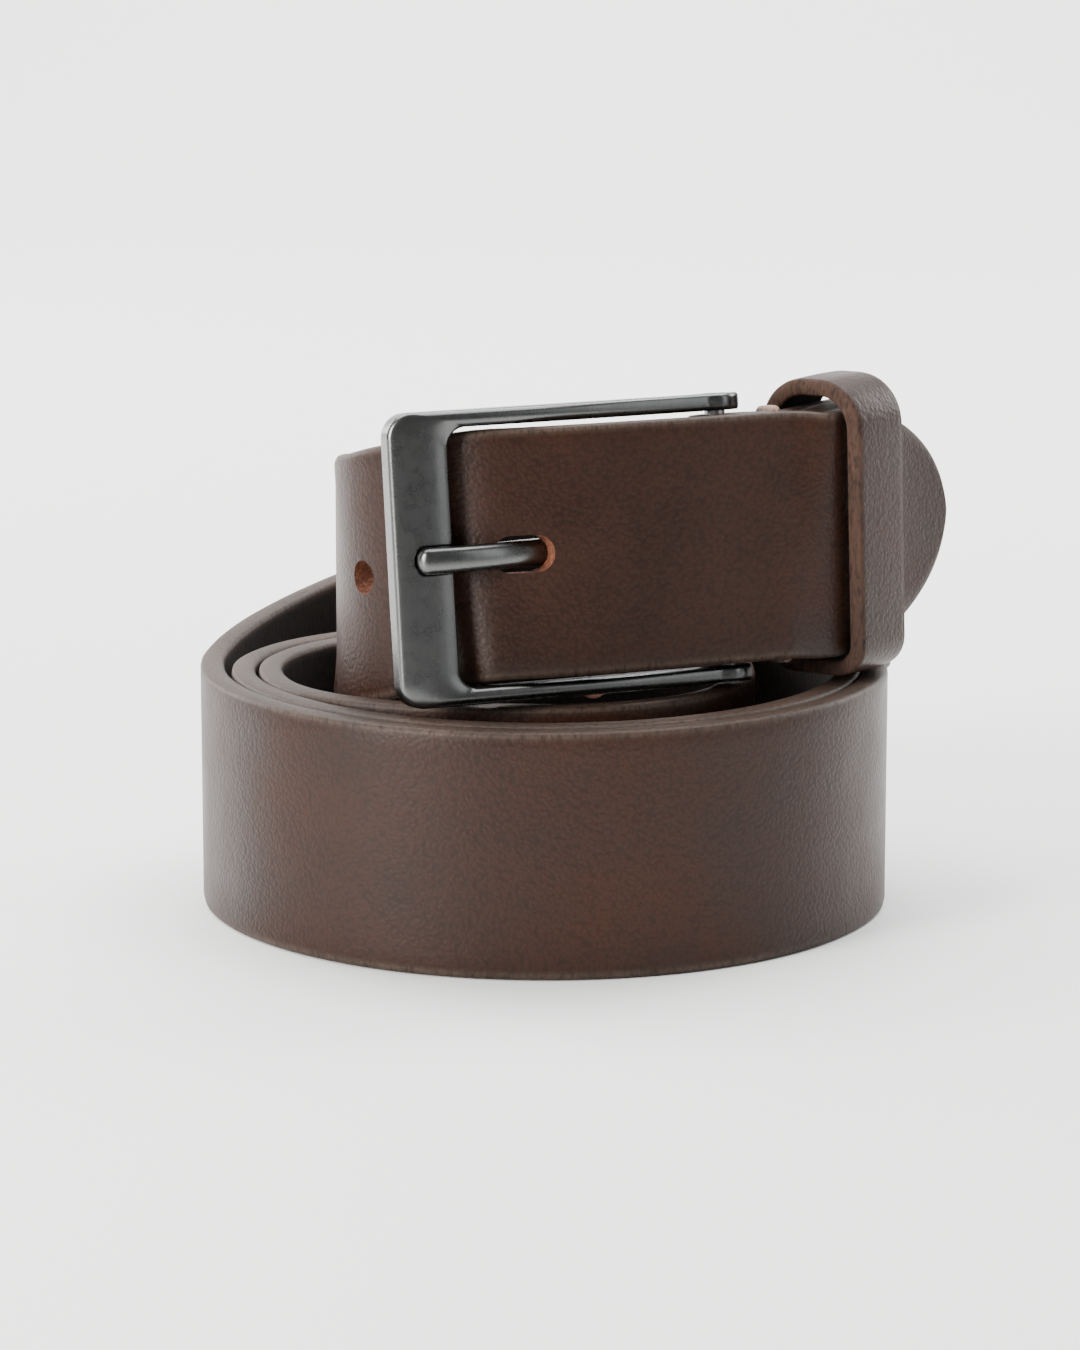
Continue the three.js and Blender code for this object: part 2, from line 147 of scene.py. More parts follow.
# The lower coil's middle radius at an angle that starts at 180 and counts on past 360.
def lowerRadius(degrees):
    turns = (degrees - 180) / 360
    whole = math.floor(turns)
    deep = whole + smoothStep(0.5, 1, turns - whole)
    around = ((degrees % 360) + 450) % 360
    near = min(1, abs(around - coil["hollowMiddle"]) / coil["hollowSpread"])
    hollow = coil["rearHollow"] * (1 + math.cos(math.pi * near)) / 2 if degrees > coil["hollowFrom"] else 0
    drawn = coil["innerDraw"] * smoothStep(coil["drawFrom"], coil["drawTo"], degrees)
    layer = belt["thickness"] + coil["turnGap"]
    return coil["radius"] - belt["thickness"] / 2 - layer * deep - hollow - drawn


def besideKeeper(offset):
    return [seated(keeperSeat, x, offset) for x in (-coil["keeperLead"], 0, coil["rowFar"])]


def mainStations():
    # From the keeper down round the rear: angle, bulge past the lower coil, share of the width.
    falling = (
        (12, 1.2, 0.932), (24, 2.4, 0.803), (40, 3.4, 0.653), (60, 3.6, 0.5), (80, 3.4, 0.368),
        (100, 2.6, 0.263), (120, 1.6, 0.174), (135, 0.8, 0.108), (150, 0.3, 0.053),
        (162, 0.1, 0.02), (173, 0, 0.003),
    )
    outermost = coil["radius"] - belt["thickness"] / 2
    runDown = [polar(turned, outermost + bulge, share * belt["width"]) for turned, bulge, share in falling]
    lower = [polar(turned, lowerRadius(turned), 0) for turned in range(180, 1036, 15)]
    climb = []
    for turned in range(-10, 171, 15):
        x = coil["climbWide"] * cosine(turned)
        y = coil["climbDeep"] * sine(turned) - coil["climbForward"]
        rise = smoothStep(0, coil["climbTo"], turned)
        climb.append(standing(x, y, (belt["width"] - coil["climbShort"]) * rise))
    bend = []
    middleX, middleY = coil["bendMiddle"]
    for turned, over in ((183, -4.2), (199, -2.9), (215, -1.2), (232, 0.7), (249, 2.2)):
        x = coil["bendRadius"] * cosine(turned) + middleX
        y = coil["bendRadius"] * sine(turned) + middleY
        bend.append(standing(x, y, belt["width"] + over))
    billet = [(-40, 4.4), (-34, 2.7), (-27, 1.2), (-18, 0.4), (-9, 0), (0, 0), (coil["rowNear"], 0)]
    passed = billetY - mainY
    return (
        [seated(buckleSeat, 4, mainY), seated(buckleSeat, coil["rowNear"], mainY)]
        + besideKeeper(0)
        + runDown
        + lower
        + climb
        + bend
        + [seated(buckleSeat, x, billetY + off) for x, off in billet]
        + besideKeeper(passed)
        + [seated(keeperSeat, 14, passed), seated(keeperSeat, coil["tipRun"], passed - 0.4)]
    )


def foldStations():
    offset = layersBack - belt["skived"] / 2
    radius = belt["heelBarRadius"] + belt["restGap"] + belt["skived"] / 2
    stations = [seated(keeperSeat, coil["rowFar"] + 3, offset)]
    stations += besideKeeper(offset)[::-1]
    stations += [seated(buckleSeat, coil["rowNear"], mainY + offset), seated(buckleSeat, 3.6, radius - 0.4)]
    for step in range(7):
        turned = 75 + 32.5 * step
        stations.append(seated(buckleSeat, radius * cosine(turned), radius * sine(turned)))
    return stations + [seated(buckleSeat, 3, 0.05 - radius), seated(buckleSeat, 6, 0.3 - radius)]


# One stretch of a centripetal Catmull-Rom curve through four neighbouring points.
def splinePiece(before, start, end, after, share):
    middle = (end - start).length ** 0.5
    if middle < 1e-4:
        return start.copy()
    first = (start - before).length ** 0.5 or middle
    last = (after - end).length ** 0.5 or middle
    between = (end - start) / middle
    leaving = ((start - before) / first - (end - before) / (first + middle) + between) * middle
    arriving = (between - (after - start) / (middle + last) + (after - end) / last) * middle
    bend = 2 * start - 2 * end + leaving + arriving
    swell = -3 * start + 3 * end - 2 * leaving - arriving
    return ((bend * share + swell) * share + leaving) * share + start


def splineAt(points, place):
    index = min(int(place), len(points) - 2)
    before = points[index - 1] if index else 2 * points[0] - points[1]
    after = points[index + 2] if index + 2 < len(points) else 2 * points[-1] - points[-2]
    return splinePiece(before, points[index], points[index + 1], after, place - index)


# Rings along a lie: each has its middle, its flesh-side direction and its width direction.
def layRings(stations, finest=60):
    spine = [station[0] for station in stations]
    uprights = [station[1] for station in stations]
    samples = [i / finest for i in range(finest * (len(stations) - 1) + 1)]
    points = [splineAt(spine, place) for place in samples]
    runs = [0.0]
    for here, there in zip(points, points[1:]):
        runs.append(runs[-1] + (there - here).length)
    return {"spine": points, "runs": runs, "samples": samples, "uprights": uprights, "length": runs[-1]}


def ringAt(lie, distance):
    low, high = 0, len(lie["runs"]) - 1
    while high - low > 1:
        half = (low + high) // 2
        if lie["runs"][half] <= distance:
            low = half
        else:
            high = half
    span = lie["runs"][high] - lie["runs"][low]
    share = min(1.0, max(0.0, (distance - lie["runs"][low]) / span))
    middle = lie["spine"][low].lerp(lie["spine"][high], share)
    lead = lie["spine"][min(high + 2, len(lie["spine"]) - 1)]
    trail = lie["spine"][max(low - 2, 0)]
    along = (lead - trail).normalized()
    place = lie["samples"][low] + (lie["samples"][high] - lie["samples"][low]) * share
    flesh = splineAt(lie["uprights"], place).cross(along).normalized()
    return middle, flesh, along.cross(flesh), along


def deselectAll():
    if bpy.context.object and bpy.context.object.mode != "OBJECT":
        bpy.ops.object.mode_set(mode="OBJECT")
    bpy.ops.object.select_all(action="DESELECT")


def makeOnly(piece):
    deselectAll()
    piece.select_set(True)
    bpy.context.view_layer.objects.active = piece


# A primitive grid laid out as a closed tube: place(u, v) gives each point in millimetres of
# the coil, with u along the tube and v once round it.
def laidTube(name, along, around, place, capped=True, looped=False):
    deselectAll()
    bpy.ops.mesh.primitive_grid_add(x_subdivisions=along, y_subdivisions=around, size=1)
    piece = bpy.context.object
    piece.name = name
    for vertex in piece.data.vertices:
        u = min(1.0, max(0.0, vertex.co.x + 0.5))
        v = min(1.0, max(0.0, vertex.co.y + 0.5))
        vertex.co = inRow(place(0.0 if looped and u > 0.999999 else u, 0.0 if v > 0.999999 else v))
    bpy.ops.object.mode_set(mode="EDIT")
    bpy.ops.mesh.select_all(action="SELECT")
    bpy.ops.mesh.remove_doubles(threshold=1e-6)
    if capped:
        bpy.ops.mesh.select_all(action="DESELECT")
        bpy.ops.mesh.select_non_manifold(extend=False)
        bpy.ops.mesh.fill()
    bpy.ops.mesh.select_all(action="SELECT")
    bpy.ops.mesh.normals_make_consistent(inside=False)
    bpy.ops.object.mode_set(mode="OBJECT")
    bpy.ops.object.shade_smooth_by_angle(angle=math.radians(50))
    return piece


def applyModifier(piece, modifier):
    makeOnly(piece)
    bpy.ops.object.modifier_apply(modifier=modifier.name)


def cutWith(piece, cutter):
    cut = piece.modifiers.new("cut", "BOOLEAN")
    cut.operation = "DIFFERENCE"
    cut.solver = "EXACT"
    cut.material_mode = "TRANSFER"
    cut.object = cutter
    applyModifier(piece, cut)
    bpy.data.objects.remove(cutter)


def joinInto(piece, others):
    makeOnly(piece)
    for other in others:
        other.select_set(True)
    bpy.ops.object.join()
    return piece


def useMaterial(piece, material):
    piece.data.materials.clear()
    piece.data.materials.append(material)


def newMaterial(name):
    material = bpy.data.materials.new(name)
    material.use_nodes = True
    nodes = material.node_tree.nodes
    return material, nodes, material.node_tree.links, nodes["Principled BSDF"]


def noise(nodes, links, vector, scale, detail=4.0, roughness=0.55):
    texture = nodes.new("ShaderNodeTexNoise")
    texture.inputs["Scale"].default_value = scale
    texture.inputs["Detail"].default_value = detail
    texture.inputs["Roughness"].default_value = roughness
    links.new(vector, texture.inputs["Vector"])
    return texture.outputs["Fac"]


def ramp(nodes, links, source, stops, smooth=False):
    node = nodes.new("ShaderNodeValToRGB")
    colours = node.color_ramp
    colours.interpolation = "EASE" if smooth else "LINEAR"
    while len(colours.elements) < len(stops):
        colours.elements.new(0.5)
    for element, (place, colour) in zip(colours.elements, stops):
        element.position = place
        element.color = colour if len(colour) == 4 else (*colour, 1)
    links.new(source, node.inputs["Fac"])
    return node.outputs["Color"]


def mixColour(nodes, links, share, first, second, kind="MIX"):
    node = nodes.new("ShaderNodeMix")
    node.data_type = "RGBA"
    node.blend_type = kind
    for value, socket in ((share, node.inputs[0]), (first, node.inputs[6]), (second, node.inputs[7])):
        if isinstance(value, (float, int)):
            socket.default_value = value
        elif isinstance(value, tuple):
            socket.default_value = (*value, 1)
        else:
            links.new(value, socket)
    return node.outputs[2]


def arithmetic(nodes, links, kind, first, second):
    node = nodes.new("ShaderNodeMath")
    node.operation = kind
    for value, socket in ((first, node.inputs[0]), (second, node.inputs[1])):
        if isinstance(value, (float, int)):
            socket.default_value = value
        else:
            links.new(value, socket)
    return node.outputs[0]


def bump(nodes, links, height, strength, distance, under=None):
    node = nodes.new("ShaderNodeBump")
    node.inputs["Strength"].default_value = strength
    node.inputs["Distance"].default_value = distance
    links.new(height, node.inputs["Height"])
    if under:
        links.new(under, node.inputs["Normal"])
    return node.outputs["Normal"]


def grey(value):
    return (value, value, value)


leather = {
    "grain": (0.0250, 0.0090, 0.0046),  # linear colours
    "grainDark": (0.0205, 0.0078, 0.0042),
    "grainRed": (0.0315, 0.0098, 0.0044),
    "rim": (0.046, 0.029, 0.021),
    "rimDark": (0.018, 0.0085, 0.0055),
    # flesh and fleshLight are near-black: the flesh side's dark dye, with the coil's inner shade painted in.
    "flesh": (0.0060, 0.0040, 0.0032),
    "fleshLight": (0.0165, 0.0105, 0.0080),
    "keeperRim": (0.048, 0.024, 0.016),
    "keeperRimDark": (0.016, 0.008, 0.006),
    "keeperRed": (0.034, 0.011, 0.006),
    # The cut fibre's colours are darkened below the raw fibre's orange-brown: painted shade inside the
    # holes.
    "cutShadeDark": (0.03, 0.009, 0.005),
    "cut": (0.13, 0.036, 0.013),
    "cutLight": (0.34, 0.12, 0.045),
    "pebble": 1500.0,  # grain cells per metre
    "poreScale": 3600,
    "creaseScale": 260,
    "patchScale": 55,
    "cloudScale": 16,
    "waveScale": 45,
    "fibreScale": 1500,
    "cutScale": 1900,
    "wobbleScale": 420,
    "wobble": 0.0009,
    "roughness": 0.42,
    "rimRoughness": 0.5,
    "keeperRimRoughness": 0.78,
}

# Where the faces and rims lie round a leather band's section, as shares of its UV's v.
section = {"grainEnd": 0.35, "rimEnd": 0.5, "fleshEnd": 0.85}


# Grain side, rims and flesh side told apart by v, which runs once round the section.
def leatherMaterial(name, rim, rimDark, rimRough, redness):
    material, nodes, links, shader = newMaterial(name)
    place = nodes.new("ShaderNodeTexCoord")
    solid = place.outputs["Object"]
    split = nodes.new("ShaderNodeSeparateXYZ")
    links.new(place.outputs["UV"], split.inputs[0])
    v = split.outputs["Y"]
    soft = 0.006
    grainEnd, rimEnd, fleshEnd = section["grainEnd"], section["rimEnd"], section["fleshEnd"]
    black, white = grey(0), grey(1)
    rimMask = ramp(nodes, links, v, [
        (0.0, white), (soft, black), (grainEnd - soft, black), (grainEnd + soft, white),
        (rimEnd - soft, white), (rimEnd + soft, black), (fleshEnd - soft, black), (fleshEnd + soft, white),
    ])
    fleshMask = ramp(nodes, links, v, [
        (rimEnd, black), (rimEnd + soft, white), (fleshEnd - soft, white), (fleshEnd, black),
    ])

    # Pebbled grain: cells with soft creases, finer pores, and long soft wrinkles.
    bent = nodes.new("ShaderNodeVectorMath")
    bent.operation = "MULTIPLY_ADD"
    wobble = nodes.new("ShaderNodeTexNoise")
    wobble.inputs["Scale"].default_value = leather["wobbleScale"]
    links.new(solid, wobble.inputs["Vector"])
    links.new(wobble.outputs["Color"], bent.inputs[0])
    bent.inputs[1].default_value = grey(leather["wobble"])
    links.new(solid, bent.inputs[2])
    cells = nodes.new("ShaderNodeTexVoronoi")
    cells.feature = "SMOOTH_F1"
    cells.inputs["Scale"].default_value = leather["pebble"]
    cells.inputs["Smoothness"].default_value = 0.55
    links.new(bent.outputs[0], cells.inputs["Vector"])
    pebble = arithmetic(nodes, links, "SUBTRACT", 1.0, cells.outputs["Distance"])
    pores = noise(nodes, links, solid, leather["poreScale"], 3, 0.6)
    patches = noise(nodes, links, solid, leather["patchScale"], 4, 0.6)
    clouds = noise(nodes, links, solid, leather["cloudScale"], 3, 0.5)
    creases = noise(nodes, links, solid, leather["creaseScale"], 3, 0.6)

    tone = ramp(nodes, links, patches, [
        (0.32, leather["grainDark"]), (0.52, leather["grain"]), (0.74, redness),
    ], smooth=True)
    cloudTone = ramp(nodes, links, clouds, [(0.3, grey(0.86)), (0.7, grey(1.1))])
    tone = mixColour(nodes, links, 1.0, tone, cloudTone, "MULTIPLY")
    # The valleys between the pebbles are darkened: painted shade in the grain's hollows.
    pebbleValleyShade = ramp(nodes, links, pebble, [(0.25, grey(0.5)), (0.62, grey(1.0))])
    grainTone = mixColour(nodes, links, 0.6, tone, pebbleValleyShade, "MULTIPLY")

    fibres = nodes.new("ShaderNodeMapping")
    fibres.inputs["Scale"].default_value = (1.0, 1.0, 0.35)
    links.new(solid, fibres.inputs["Vector"])
    fibre = noise(nodes, links, fibres.outputs[0], leather["fibreScale"], 5, 0.7)
    rimTone = ramp(nodes, links, fibre, [(0.34, rimDark), (0.5, rim), (0.72, tuple(1.35 * c for c in rim))])
    rimBlotch = ramp(nodes, links, patches, [(0.35, grey(0.7)), (0.65, grey(1.1))])
    rimTone = mixColour(nodes, links, 1.0, rimTone, rimBlotch, "MULTIPLY")
    # The flesh side's near-black tone holds painted shade from the coil's inside as well as its dye.
    fleshTone = ramp(nodes, links, fibre, [(0.3, leather["flesh"]), (0.75, leather["fleshLight"])])

    colour = mixColour(nodes, links, rimMask, grainTone, rimTone)
    colour = mixColour(nodes, links, fleshMask, colour, fleshTone)
    links.new(colour, shader.inputs["Base Color"])

    sheen = ramp(nodes, links, patches, [
        (0.3, grey(leather["roughness"] - 0.05)), (0.7, grey(leather["roughness"] + 0.08)),
    ])
    rough = mixColour(nodes, links, rimMask, sheen, grey(rimRough))
    rough = mixColour(nodes, links, fleshMask, rough, grey(0.85))
    links.new(rough, shader.inputs["Roughness"])
    shader.inputs["Specular IOR Level"].default_value = 0.22

    grainHeight = arithmetic(nodes, links, "ADD", pebble, arithmetic(nodes, links, "MULTIPLY", pores, 0.35))
    creaseHeight = arithmetic(nodes, links, "MULTIPLY", creases, 0.5)
    grainHeight = arithmetic(nodes, links, "ADD", grainHeight, creaseHeight)
    height = mixColour(nodes, links, rimMask, grainHeight, arithmetic(nodes, links, "MULTIPLY", fibre, 1.6))
    height = mixColour(nodes, links, fleshMask, height, arithmetic(nodes, links, "MULTIPLY", fibre, 2.6))
    normal = bump(nodes, links, height, 0.6, 0.00011)
    waves = noise(nodes, links, solid, leather["waveScale"], 2, 0.5)
    links.new(bump(nodes, links, waves, 0.18, 0.0008, normal), shader.inputs["Normal"])
    return material


metal = {
    "gunmetal": (0.125, 0.126, 0.122),
    "gunmetalDark": (0.094, 0.098, 0.099),
    "steel": (0.42, 0.42, 0.43),
    "steelDark": (0.24, 0.24, 0.25),
    "roughness": 0.27,
    "steelRoughness": 0.3,
    "brushScale": 2400,
    "cloudScale": 90,
    "smudgeScale": 420,
}


def metalMaterial(name, bright, dark, roughness, brushed):
    material, nodes, links, shader = newMaterial(name)
    place = nodes.new("ShaderNodeTexCoord")
    solid = place.outputs["Object"]
    stretch = nodes.new("ShaderNodeMapping")
    stretch.inputs["Scale"].default_value = (1.0, 1.0, 0.06) if brushed else (1.0, 1.0, 0.5)
    links.new(solid, stretch.inputs["Vector"])
    lines = noise(nodes, links, stretch.outputs[0], metal["brushScale"], 4, 0.6)
    cloudy = noise(nodes, links, solid, metal["cloudScale"], 4, 0.6)
    smudge = noise(nodes, links, solid, metal["smudgeScale"], 5, 0.65)
    colour = ramp(nodes, links, cloudy, [(0.3, dark), (0.7, bright)])
    colour = mixColour(nodes, links, 0.35, colour, ramp(nodes, links, lines, [(0.3, dark), (0.7, bright)]))
    links.new(colour, shader.inputs["Base Color"])
    shader.inputs["Metallic"].default_value = 1.0
    worn = ramp(nodes, links, smudge, [(0.3, grey(roughness - 0.02)), (0.7, grey(roughness + 0.05))])
    links.new(worn, shader.inputs["Roughness"])
    normal = bump(nodes, links, lines, 0.05, 0.00001)
    links.new(bump(nodes, links, cloudy, 0.04, 0.0002, normal), shader.inputs["Normal"])
    return material


def holeMaterial():
    material, nodes, links, shader = newMaterial("holeFibreAndShade")
    solid = nodes.new("ShaderNodeTexCoord").outputs["Object"]
    fibre = noise(nodes, links, solid, leather["cutScale"], 6, 0.75)
    # Raw fibre tone, darkened throughout: painted shade inside the holes.
    colour = ramp(nodes, links, fibre, [
        (0.3, leather["cutShadeDark"]), (0.5, leather["cut"]), (0.74, leather["cutLight"]),
    ])
    links.new(colour, shader.inputs["Base Color"])
    shader.inputs["Roughness"].default_value = 0.85
    links.new(bump(nodes, links, fibre, 1.0, 0.0003), shader.inputs["Normal"])
    return material


waxed = {
    "dark": (0.10, 0.055, 0.036),
    "brown": (0.27, 0.125, 0.066),
    "pale": (0.34, 0.27, 0.22),
    "plies": 3,
    "fuzzScale": 5200,
    "mottleScale": 700,
    "twist": 4.0,  # turns of the plies along a stitch
}


def threadMaterial():
    material, nodes, links, shader = newMaterial("waxedThread")
    place = nodes.new("ShaderNodeTexCoord")
    split = nodes.new("ShaderNodeSeparateXYZ")
    links.new(place.outputs["UV"], split.inputs[0])
    twisted = arithmetic(nodes, links, "MULTIPLY", split.outputs["X"], waxed["twist"])
    turned = arithmetic(nodes, links, "ADD", twisted, split.outputs["Y"])
    phase = arithmetic(nodes, links, "MULTIPLY", turned, 2 * math.pi * waxed["plies"])
    plies = arithmetic(nodes, links, "SINE", phase, 0.0)
    fuzz = noise(nodes, links, place.outputs["Object"], waxed["fuzzScale"], 4, 0.7)
    mottled = noise(nodes, links, place.outputs["Object"], waxed["mottleScale"], 3, 0.6)
    colour = ramp(nodes, links, mottled, [
        (0.3, waxed["dark"]), (0.5, waxed["brown"]), (0.72, waxed["pale"]),
    ])
    # The grooves between the plies are darkened: painted shade in the twist.
    dark = ramp(nodes, links, plies, [(0.0, grey(0.45)), (0.7, grey(1.0))])
    links.new(mixColour(nodes, links, 0.7, colour, dark, "MULTIPLY"), shader.inputs["Base Color"])
    shader.inputs["Roughness"].default_value = 0.72
    shader.inputs["Sheen Weight"].default_value = 0.3
    height = arithmetic(nodes, links, "ADD", arithmetic(nodes, links, "MULTIPLY", plies, 0.5), fuzz)
    links.new(bump(nodes, links, height, 0.6, 0.0001), shader.inputs["Normal"])
    return material


strapLeather = leatherMaterial(
    "strapLeather", leather["rim"], leather["rimDark"], leather["rimRoughness"], leather["grainRed"]
)
keeperLeather = leatherMaterial(
    "keeperLeather",
    leather["keeperRim"],
    leather["keeperRimDark"],
    leather["keeperRimRoughness"],
    leather["keeperRed"],
)
gunmetalPlate = metalMaterial(
    "satinGunmetal", metal["gunmetal"], metal["gunmetalDark"], metal["roughness"], True
)
barSteel = metalMaterial("barSteel", metal["steel"], metal["steelDark"], metal["steelRoughness"], False)
holeFibreAndShade = holeMaterial()
waxedThread = threadMaterial()
print("materials made")

strapValues = {
    "ringStep": 1.6,
    "foldStep": 0.6,
    "tipRings": 30,
    "tipShare": 0.9985,  # the last ring stops just short of the tip's end
    "edgeRound": 0.95,
    "around": 40,  # points round the section
    "holeRadius": 2.6,
    "holeSpacing": 25,
    "holes": 5,
    "wornHole": -36,  # the hole in use, along the buckle seat's x
    "wornSlot": (-39.5, -30.2),
    "wornSlotRadius": 2.85,
    "prongSlot": (-9, 4.8),
    "prongSlotRadius": 2.75,
}


# A point of a leather band's section at v: x towards the flesh side, y up the width.
def bandSection(v, halfThick, halfWide, edgeRound):
    grainEnd, rimEnd, fleshEnd = section["grainEnd"], section["rimEnd"], section["fleshEnd"]
    rounded = min(edgeRound, halfWide * 0.9)
    straight = halfWide - rounded
    if v < grainEnd:
        return -halfThick, -straight + 2 * straight * v / grainEnd
    if v < rimEnd:
        turned = math.pi * (v - grainEnd) / (rimEnd - grainEnd)
        across = -math.copysign(abs(math.cos(turned)) ** 0.6, math.cos(turned))
        return halfThick * across, straight + rounded * math.sin(turned) ** 0.6
    if v < fleshEnd:
        return halfThick, straight - 2 * straight * (v - rimEnd) / (fleshEnd - rimEnd)
    turned = math.pi * (v - fleshEnd) / (1 - fleshEnd)
    across = math.copysign(abs(math.cos(turned)) ** 0.6, math.cos(turned))
    return halfThick * across, -straight - rounded * max(0.0, math.sin(turned)) ** 0.6


def layBand(name, lie, distances, halfThick, halfWideAt):
    last = len(distances) - 1
    rings = [ringAt(lie, distance) for distance in distances]

    def place(u, v):
        index = round(u * last)
        middle, flesh, upward, _ = rings[index]
        x, z = bandSection(v, halfThick, halfWideAt(distances[index]), strapValues["edgeRound"])
        return middle + flesh * x + upward * z

    return laidTube(name, last, strapValues["around"], place)


mainLie = layRings(mainStations())
foldLie = layRings(foldStations())
print("strap length", round(mainLie["length"]), "mm")

# Even rings, then closer ones where the point rounds off.
tipStart = mainLie["length"] - coil["tipLength"]
evenRings = round(tipStart / strapValues["ringStep"])
mainDistances = [tipStart * i / evenRings for i in range(evenRings)]
for i in range(strapValues["tipRings"] + 1):
    reached = sine(90 * i / strapValues["tipRings"]) * strapValues["tipShare"]
    mainDistances.append(tipStart + coil["tipLength"] * reached)


def mainHalfWidth(distance):
    beyond = max(0.0, distance - tipStart) / coil["tipLength"]
    return belt["width"] / 2 * math.sqrt(max(0.0, 1 - beyond * beyond))


strap = layBand("strapLaid", mainLie, mainDistances, belt["thickness"] / 2, mainHalfWidth)
useMaterial(strap, strapLeather)
foldCount = round(foldLie["length"] / strapValues["foldStep"])
foldDistances = [foldLie["length"] * i / foldCount for i in range(foldCount + 1)]
fold = layBand("strapFold", foldLie, foldDistances, belt["skived"] / 2, lambda distance: belt["width"] / 2)
useMaterial(fold, strapLeather)
print("strap laid")


# A round-ended cutter: a cylinder in a seat, its round stretched between two ends along x.
def cutterIn(seat, ends, radius, y, depth):
    start, end = ends
    deselectAll()
    bpy.ops.mesh.primitive_cylinder_add(vertices=48, radius=radius, depth=depth)
    cutter = bpy.context.object
    for vertex in cutter.data.vertices:
        px, pz = vertex.co.x, vertex.co.y
        px += end - radius if px > 0 else start + radius
        vertex.co = inRow(seat @ Vector((px, y + vertex.co.z, pz)))
    makeOnly(cutter)
    bpy.ops.object.mode_set(mode="EDIT")
    bpy.ops.mesh.select_all(action="SELECT")
    bpy.ops.mesh.normals_make_consistent(inside=False)
    bpy.ops.object.mode_set(mode="OBJECT")
    useMaterial(cutter, holeFibreAndShade)
    return cutter


def distanceToX(limit):
    toBuckle = buckleSeat.inverted()
    distance = mainLie["length"]
    while (toBuckle @ ringAt(mainLie, distance)[0]).x > limit:
        distance -= 0.5
    return distance


wornHole = distanceToX(strapValues["wornHole"])
for step in range(1, strapValues["holes"]):
    middle, flesh, upward, along = ringAt(mainLie, wornHole - step * strapValues["holeSpacing"])
    holeSeat = Matrix.Translation(middle) @ Matrix((along, flesh, upward)).transposed().to_4x4()
    radius = strapValues["holeRadius"]
    cutWith(strap, cutterIn(holeSeat, (-radius, radius), radius, 0, 3 * belt["thickness"]))
wornSlot, wornSlotRadius = strapValues["wornSlot"], strapValues["wornSlotRadius"]
cutWith(strap, cutterIn(buckleSeat, wornSlot, wornSlotRadius, billetY + 1.5, 9))
prongSlot, prongSlotRadius = strapValues["prongSlot"], strapValues["prongSlotRadius"]
cutWith(fold, cutterIn(buckleSeat, prongSlot, prongSlotRadius, 0, 2 * foldFace + 0.4))
strap = joinInto(strap, [fold])
strap.name = "leather_strap"
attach(strap, "strap")
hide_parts("strap")
print("strap finished", len(strap.data.polygons))

buckle = {
    "length": 58.0,
    "lug": 3.2,
    "frontBar": 9.3,
    "thickness": 3.6,
    "outerCorner": 3.8,
    "innerCorner": 3.0,
    "openGap": 0.6,  # the strap's edge to this frame's opening, a little under railGap
    "cornerStart": 0.62,  # where the corner starts and ends, as shares of the half outline
    "cornerEnd": 0.78,
    "lugTrim": 0.05,
    "faceFall": 9.5,
    "faceReturn": 8.2,
    "softEdge": 0.6,
    "edgeShare": 0.16,  # how much of each side its rounding takes
    "notch": 1.2,
    "prongWidth": 4.1,
    "prongThickness": 3.4,
    "prongOverhang": 3.0,
    "eye": 3.6,
    "boreRoom": 0.28,
    "rootInset": 0.4,  # the prong's root stops this far outside the bore
}
frameEnd = buckle["lug"] - buckle["length"]
lugSide = buckle["lug"] - buckle["lugTrim"]


def frameFace(x):
    share = -x / buckle["length"]
    return -(belt["heelBarRadius"] + 0.8) - buckle["faceFall"] * share + buckle["faceReturn"] * share * share


# Outer and inner outline of the frame's lower half, matched point by point, in x and z.
def frameOutline(share):
    openHalf = belt["width"] / 2 + buckle["openGap"]
    outer, inner = buckle["outerCorner"], buckle["innerCorner"]
    barEdge = frameEnd + buckle["frontBar"]
    start, end = buckle["cornerStart"], buckle["cornerEnd"]
    if share <= start:
        along = share / start
        left = Vector((lugSide + (frameEnd + outer - buckle["lug"]) * along, -frameHalf))
        right = Vector((lugSide + (barEdge + inner - buckle["lug"]) * along, -openHalf))
        return left, right
    if share >= end:
        along = (share - end) / (1 - end)
        left = Vector((frameEnd, (-frameHalf + outer) * (1 - along)))
        right = Vector((barEdge, (-openHalf + inner) * (1 - along)))
        return left, right
    turned = 90 * (share - start) / (end - start)
    left = Vector((frameEnd + outer * (1 - sine(turned)), -frameHalf + outer * (1 - cosine(turned))))
    right = Vector((barEdge + inner * (1 - sine(turned)), -openHalf + inner * (1 - cosine(turned))))
    return left, right


# How far the frame's front and back stand at x: the lugs swell round the heel bar.
def frameDepth(x):
    front, back = frameFace(x), frameFace(x) + buckle["thickness"]
    lug = math.sqrt(max(0.0, buckle["lug"] ** 2 - x * x))
    return min(front, -lug), max(back, lug)


